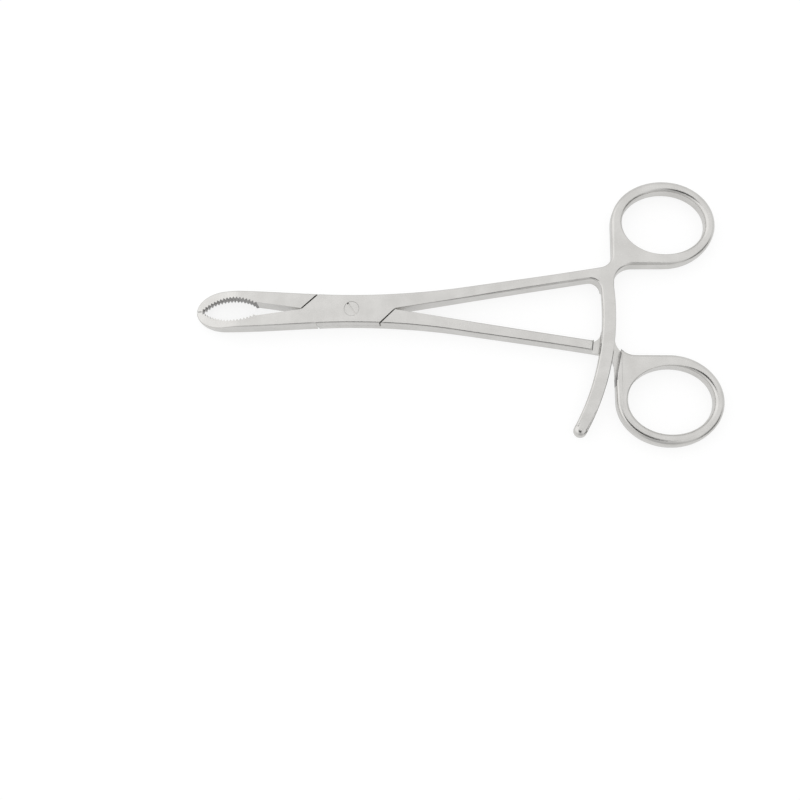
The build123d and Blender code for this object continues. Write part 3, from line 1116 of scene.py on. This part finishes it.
@dataclass
class Handles:
    """The two handles, each a shank, its web and its finger ring in one forging."""

    segments: int = 6
    thin_rim_azimuth: float = 245.0
    thin_rim_blend: Pair = (25.0, 85.0)
    web_azimuth: float = 221.0
    web_blend: Pair = (60.0, 120.0)
    ring_blend: Pair = (-1.0, 8.0)
    inner_edge_margin: float = 1.0
    inner_blend: float = 20.0
    wall_turn: float = 0.3
    wall_lean: float = 0.95
    slices: tuple[float, ...] = (SIZES.taper_start, SIZES.taper_end, 56.0, 68.0, 74.5, 92.0)
    pieces: list[Piece] = field(default_factory=list)

    def faces(self, x: float) -> Pair:
        """Heights of the handle's faces at x: the joint's, then thinning down to the shank's."""
        share = (x - SIZES.taper_start) / (SIZES.taper_end - SIZES.taper_start)
        drop = (SIZES.lock_thickness - SIZES.shank_thickness) / 2 * min(max(share, 0.0), 1.0)
        return drop, SIZES.lock_thickness - drop

    def from_azimuth(self, middle: Vector, azimuth: float) -> float:
        """Angle about the ring's centre between a place and an azimuth, in degrees, 0 to 180."""
        arm = middle.to_2d() - Vector((SIZES.ring_centre, SIZES.ring_spread))
        return degrees(arm.angle(Vector(polar(1.0, azimuth))))

    def is_hole(self, middle: Vector) -> bool:
        """True on the finger hole's rim."""
        across = (middle.x - SIZES.ring_centre - SIZES.hole_shift) / SIZES.hole_length
        along = (middle.y - SIZES.ring_spread) / SIZES.hole_width
        return hypot(across, along) < 0.5 + TOLERANCE

    def rim(self, middle: Vector) -> float:
        """Radius of the upper handle's edge at a place."""
        low, high = self.faces(middle.x)
        if min(abs(middle.z - low), abs(middle.z - high)) > TOLERANCE:
            return 0.0
        if self.is_hole(middle):
            off_thin = self.from_azimuth(middle, self.thin_rim_azimuth)
            far = blend_between(*self.thin_rim_blend, off_thin)
            return RIMS.hole_near + (RIMS.hole_far - RIMS.hole_near) * far
        shoulder = SIZES.lap_corner_x(SIZES.lap_rear, SIZES.lap_rear_angle, middle.y)
        if abs(middle.x - shoulder) < TOLERANCE:
            return RIMS.broken if middle.z < SIZES.mid_z else 0.0
        reach = hypot(middle.x, middle.y)
        past_root = degrees(atan2(middle.y, middle.x)) < SIZES.bar_root_angle() + TOLERANCE
        if past_root and reach > SIZES.bar_inner - TOLERANCE:
            return 0.0
        inner_side = middle.y < SIZES.inner_edge_y(middle.x) + self.inner_edge_margin
        if middle.x < SIZES.ring_left and inner_side:
            full = SIZES.ring_left - self.inner_blend
            along = blend_between(SIZES.lap_rear, full, middle.x)
            return RIMS.broken + (RIMS.shank_inner - RIMS.broken) * along
        far = blend_between(*self.web_blend, self.from_azimuth(middle, self.web_azimuth))
        ring = RIMS.ring_near + (RIMS.ring_far - RIMS.ring_near) * far
        onto_ring = blend_between(*self.ring_blend, reach - SIZES.bar_radius)
        return RIMS.blade + (ring - RIMS.blade) * onto_ring

    def lower_rim(self, middle: Vector) -> float:
        """Radius of the lower handle's edge at a place, with the catch's groove in it."""
        off_bar = hypot(middle.x, middle.y) - SIZES.bar_radius
        if middle.z > SIZES.mid_z and abs(abs(off_bar) - SIZES.groove_half_width) < TOLERANCE:
            on_top = middle.z > SIZES.shank_top - 2 * TOLERANCE
            return (RIMS.groove_slope if off_bar < 0 else RIMS.groove) if on_top else 0.0
        return self.rim(Vector((middle.x, -middle.y, SIZES.lock_thickness - middle.z)))

    def hole_cutter(self) -> Object:
        """An oval cylinder through the finger ring."""
        Bench.clear()
        centre = ((SIZES.ring_centre + SIZES.hole_shift) * MM, SIZES.ring_spread * MM, 0.0)
        bpy.ops.mesh.primitive_cylinder_add(vertices=RING_STEPS, radius=1, depth=1, location=centre)
        cutter = bpy.context.object
        size = (SIZES.hole_length / 2, SIZES.hole_width / 2, 4 * SIZES.lock_thickness)
        cutter.scale = tuple(part * MM for part in size)
        Bench.settle()
        return cutter

    def make(self) -> None:
        """Model the ratchet half's handle, then turn a copy over and cut its catch."""
        upper = Bench.draw("upper_handle", PlanDrawing.handle(), 0.0)
        Bench.thicken(upper, SIZES.lock_thickness)
        Bench.slice_at(upper, self.slices)
        Bench.press(upper, self.faces)
        Bench.combine(upper, self.hole_cutter(), "DIFFERENCE")
        lower = Bench.copy(upper, "lower_handle")
        Bench.round_rims(upper, self.rim, self.segments)
        Bench.smooth(upper)
        nodes = ("ratchet_half_shank", "ratchet_bar_root", "ratchet_half_ring")
        self.pieces.append(Piece(upper, Half.RATCHET, nodes))
        Bench.turn_over(lower)
        Bench.combine(lower, Ratchet.catch_cutter(), "DIFFERENCE")
        Bench.round_rims(lower, self.lower_rim, self.segments)
        Bench.smooth(lower)
        nodes = ("catch_half_shank", "ratchet_catch", "catch_half_ring")
        piece = Piece(lower, Half.CATCH, nodes)
        # Painted shade: the groove's walls and sloped rim get the darker steel, standing in for the
        # bar's shade on them.
        piece.paint_shade(self.is_groove_wall)
        self.pieces.append(piece)

    def is_groove_wall(self, middle: Vector, normal: Vector) -> bool:
        """True on the two walls of the catch's groove and on their broken rims, which are given
        painted shade.
        """
        off_bar = abs(hypot(middle.x, middle.y) - SIZES.bar_radius) - SIZES.groove_half_width
        deep = SIZES.bar_underside - SIZES.ratchet_crest_gap - 2 * SIZES.ratchet_tooth_height
        near = -TOLERANCE < off_bar < RIMS.groove_slope
        radial = abs(normal.x * middle.x + normal.y * middle.y) / hypot(middle.x, middle.y)
        upright = radial > self.wall_turn and abs(normal.z) < self.wall_lean
        return near and middle.z > deep and upright


@dataclass
class Ratchet:
    """The curved bar that hangs from the upper handle, toothed underneath."""

    steps: int = 84
    end_steps: int = 16
    segments: int = 6
    end_blend: Pair = (0.3, -0.5)
    overcut: float = 1.0
    pieces: list[Piece] = field(default_factory=list)

    @staticmethod
    def catch_cutter() -> Object:
        """The cutter that leaves the catch's groove, with saw teeth along its middle."""
        crest = SIZES.bar_underside - SIZES.ratchet_crest_gap
        teeth = Saw(
            start=-degrees(asin(SIZES.ring_spread / SIZES.bar_radius)),
            end=0.0,
            inner=SIZES.bar_radius - SIZES.groove_half_width,
            outer=SIZES.bar_radius + SIZES.groove_half_width,
            root=crest - SIZES.ratchet_tooth_height,
            crest=crest,
            margin=SIZES.groove_half_width - SIZES.bar_width / 2,
        )
        return Bench.saw_block(teeth, SIZES.lock_thickness)

    def bar_cutter(self) -> Object:
        """The cutter that leaves the saw teeth on the bar's underside."""
        teeth = Saw(
            start=SIZES.bar_end_angle,
            end=SIZES.bar_tooth_start_angle,
            inner=SIZES.bar_inner - self.overcut,
            outer=SIZES.bar_outer + self.overcut,
            root=SIZES.bar_underside,
            crest=SIZES.bar_underside + SIZES.ratchet_tooth_height,
        )
        return Bench.saw_block(teeth, -SIZES.bar_thickness)

    def outline(self) -> list[Point]:
        """Outline of the bar, from its root round its end and back."""
        start = SIZES.bar_root_angle()
        end = SIZES.bar_end_angle
        inner = (SIZES.bar_inner, SIZES.bar_inner)
        outer = (SIZES.bar_outer, SIZES.bar_outer)
        reach = (SIZES.bar_width / 2, SIZES.bar_width / 2)
        centre = polar(SIZES.bar_radius, end)
        tip = oval_points(centre, reach, 180 + end, 360 + end, self.end_steps)
        down = oval_points((0.0, 0.0), inner, start, end, self.steps)
        back = oval_points((0.0, 0.0), outer, end, start, self.steps)
        return down[:-1] + tip + back[1:]

    def rim(self, middle: Vector) -> float:
        """Radius of the bar's edges: its upper ones rounded, most of all round its end."""
        angle = degrees(atan2(middle.y, middle.x))
        at_root = angle > SIZES.bar_root_angle() - TOLERANCE
        if at_root or middle.z < SIZES.shank_top - TOLERANCE:
            return 0.0
        past = blend_between(*self.end_blend, angle - SIZES.bar_end_angle)
        inner = hypot(middle.x, middle.y) < SIZES.bar_radius
        side = RIMS.bar_inner if inner else RIMS.bar_outer
        return side + (RIMS.bar_end - side) * past

    def make(self) -> None:
        """Model the bar and cut its teeth."""
        bar = Bench.draw("ratchet_bar_arm", self.outline(), SIZES.bar_underside)
        Bench.thicken(bar, SIZES.bar_thickness)
        Bench.round_rims(bar, self.rim, self.segments)
        Bench.combine(bar, self.bar_cutter(), "DIFFERENCE")
        Bench.smooth(bar)
        self.pieces.append(Piece(bar, Half.RATCHET, ("ratchet_bar",), "ratchet_steel"))


@dataclass(frozen=True)
class PhotoCamera:
    """The camera that took the photograph, in metres and in the frame."""

    place: Triple = (0.03237, -0.10893, 0.33630)
    right: Triple = (0.99886, 0.01483, -0.0454)
    down: Triple = (0.0039, -0.97285, -0.2316)
    lens: float = 48.15
    sensor: float = 36.0
    nearest: float = 0.01

    def make(self) -> None:
        """Add the camera and make it the scene's own."""
        data = bpy.data.cameras.new("camera")
        data.lens = self.lens
        data.sensor_width = self.sensor
        data.clip_start = self.nearest
        camera = bpy.data.objects.new("camera", data)
        bpy.context.scene.collection.objects.link(camera)
        right = Vector(self.right).normalized()
        up = -Vector(self.down)
        up = (up - right * up.dot(right)).normalized()
        turn = Matrix((right, up, right.cross(up))).transposed().to_4x4()
        camera.matrix_world = Matrix.Translation(self.place) @ turn
        bpy.context.scene.camera = camera


@dataclass(frozen=True)
class SkyPatch:
    """A round bright or dark patch of the light tent, seen from the instrument, in degrees."""

    azimuth: float
    elevation: float
    core: float
    edge: float
    level: float

    @property
    def direction(self) -> Triple:
        """Unit vector towards the patch."""
        flat, rise = polar(1.0, self.elevation)
        return *polar(flat, self.azimuth), rise


@dataclass(frozen=True)
class Studio:
    """A white floor in a light tent, brighter at the left and dark round the camera."""

    floor_size: float = 3.0
    floor_tone: float = 0.25
    floor_glow: float = 0.8
    floor_mirrored: float = 0.8
    floor_drop: float = 0.00002
    card_radius: float = 0.12
    card_steps: int = 48
    card_tone: float = 0.01
    card_roughness: float = 0.9
    sky: tuple[Pair, ...] = ((0.0, 0.75), (0.35, 0.85), (0.7, 0.92), (1.0, 0.94))
    patches: tuple[SkyPatch, ...] = (
        SkyPatch(165.0, 35.0, 15.0, 50.0, 1.12),
        SkyPatch(-25.0, 8.0, 12.0, 32.0, 0.2),
        SkyPatch(-90.0, 28.0, 10.0, 40.0, 0.55),
    )

    def make(self) -> None:
        """Build the floor and the light."""
        self.make_floor()
        self.make_card()
        self.make_sky()
        bpy.context.scene.view_settings.view_transform = "Standard"

    def make_floor(self) -> None:
        """A wide floor just under the instrument, which shows white to the camera."""
        Bench.clear()
        place = (0.0, 0.0, -self.floor_drop)
        bpy.ops.mesh.primitive_plane_add(size=self.floor_size, location=place)
        floor = bpy.context.object
        floor.name = "floor"
        Bench.settle()
        material = bpy.data.materials.new("floor white")
        material.use_nodes = True
        material.node_tree.nodes.clear()
        graph = Graph(material.node_tree)
        paint = graph.add("BsdfDiffuse", {"Color": grey(self.floor_tone)})
        path = graph.add("LightPath").outputs
        mirrored = graph.math("MULTIPLY", path["Is Glossy Ray"], self.floor_mirrored)
        seen = graph.math("MAXIMUM", path["Is Camera Ray"], mirrored)
        level = graph.math("MULTIPLY", seen, self.floor_glow)
        glow = graph.add("Emission", {"Strength": level})
        both = {0: paint.outputs["BSDF"], 1: glow.outputs["Emission"]}
        total = graph.add("AddShader", both).outputs["Shader"]
        graph.add("OutputMaterial", {"Surface": total})
        floor.data.materials.append(material)

    def make_card(self) -> None:
        """A black card round the camera, seen only where the steel mirrors it."""
        Bench.clear()
        camera = Vector(PhotoCamera().place)
        bpy.ops.mesh.primitive_circle_add(
            vertices=self.card_steps,
            radius=self.card_radius,
            fill_type="NGON",
            location=camera,
            rotation=camera.to_track_quat("Z", "Y").to_euler(),
        )
        card = bpy.context.object
        card.name = "camera_card"
        Bench.settle()
        card.visible_camera = False
        card.visible_diffuse = False
        card.visible_shadow = False
        material = bpy.data.materials.new("card black")
        material.use_nodes = True
        paint = {"Base Color": grey(self.card_tone), "Roughness": self.card_roughness}
        Graph(material.node_tree).wire(material.node_tree.nodes["Principled BSDF"], paint)
        card.data.materials.append(material)

    def make_sky(self) -> None:
        """A world lit by direction: an even dome with patches on it, white to the camera."""
        world = bpy.data.worlds.new("light tent")
        bpy.context.scene.world = world
        world.use_nodes = True
        world.node_tree.nodes.clear()
        graph = Graph(world.node_tree)
        look = graph.add("TexCoord").outputs["Generated"]
        rise = graph.add("SeparateXYZ", {"Vector": look}).outputs["Z"]
        ramp = graph.add("ValToRGB", {"Fac": rise})
        stops = ramp.color_ramp.elements
        while len(stops) < len(self.sky):
            stops.new(0.5)
        for stop, (height, level) in zip(stops, self.sky):
            stop.position = height
            stop.color = grey(level)
        light = ramp.outputs["Color"]
        for patch in self.patches:
            light = self.add_patch(graph, look, light, patch)
        camera = graph.add("LightPath").outputs["Is Camera Ray"]
        tint = graph.mix(camera, light, grey(1.0))
        back = graph.add("Background", {"Color": tint}).outputs["Background"]
        graph.add("OutputWorld", {"Surface": back})

    def add_patch(
        self, graph: Graph, look: NodeSocket, light: NodeSocket, patch: SkyPatch
    ) -> NodeSocket:
        """Lay one patch over the light.

        Args:
            graph: the world's node tree.
            look: socket with the direction that is looked in.
            light: socket with the light so far.
            patch: the patch to lay over it.

        Returns:
            The socket with the light and the patch.
        """
        near = graph.add("VectorMath", {0: look, 1: patch.direction}, operation="DOT_PRODUCT")
        span = (cos(radians(patch.edge)), cos(radians(patch.core)))
        share = graph.spread(near.outputs["Value"], span, interpolation_type="SMOOTHSTEP")
        return graph.mix(share, light, grey(patch.level))


def main() -> None:
    """Load the frame, build each sub-assembly, and light it."""
    logging.basicConfig(level=logging.INFO, format="%(name)s: %(message)s")
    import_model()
    finishes = Finishes()
    jaws = Jaws()
    jaws.make()
    joint = LapJoint()
    joint.make()
    handles = Handles()
    handles.make()
    bar = Ratchet()
    bar.make()
    # finishes.cut is the darker steel of the painted shade on the marked faces.
    for piece in (*jaws.pieces, *joint.pieces, *handles.pieces):
        piece.deliver(finishes.satin, finishes.cut)
    for piece in bar.pieces:
        piece.deliver(finishes.ratchet, finishes.cut)
    joint.screw.deliver(finishes.screw, finishes.cut)
    PhotoCamera().make()
    Studio().make()


if __name__ == "__main__":
    main()
